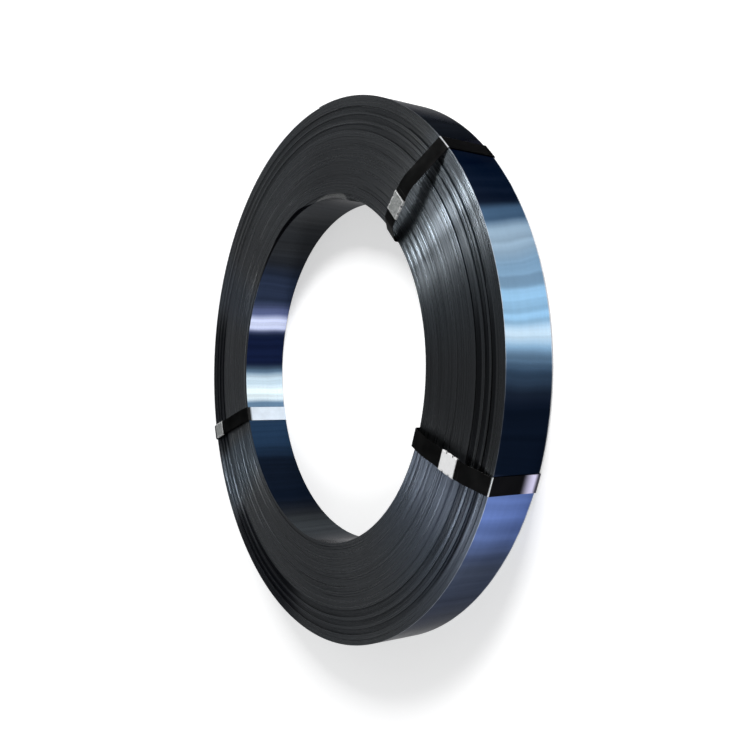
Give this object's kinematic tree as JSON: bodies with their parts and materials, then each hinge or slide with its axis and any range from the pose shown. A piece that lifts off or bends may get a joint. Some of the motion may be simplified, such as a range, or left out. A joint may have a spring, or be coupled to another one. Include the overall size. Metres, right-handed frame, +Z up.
{
  "type": "steel strapping coil",
  "caption": "Wound coil of flat blued steel strap with an open round bore, held by black steel ties that go round its section, each closed by a crimped sheet metal seal.",
  "frame": {"origin": "on the floor, on the axis of the coil", "axes": "+Z up and along the coil axis, the front end with the seals on top; +Y points to the side that is uppermost in the picture"},
  "size_m": [0.6327, 0.6332, 0.0767],
  "materials": {
    "blued_strap": "blue-tempered cold rolled steel, semi-gloss on the flat, duller on the slit edges",
    "tie_strap": "black painted and waxed steel strap, satin",
    "seal_sheet": "galvanised steel sheet, satin"
  },
  "bodies": {
    "root": {"coil": "blued_strap", "tie_upper_right": "tie_strap", "seal_upper_right": "seal_sheet", "tie_lower_right": "tie_strap", "seal_lower_right": "seal_sheet", "tie_left": "tie_strap", "seal_left": "seal_sheet"}
  },
  "joints": []
}
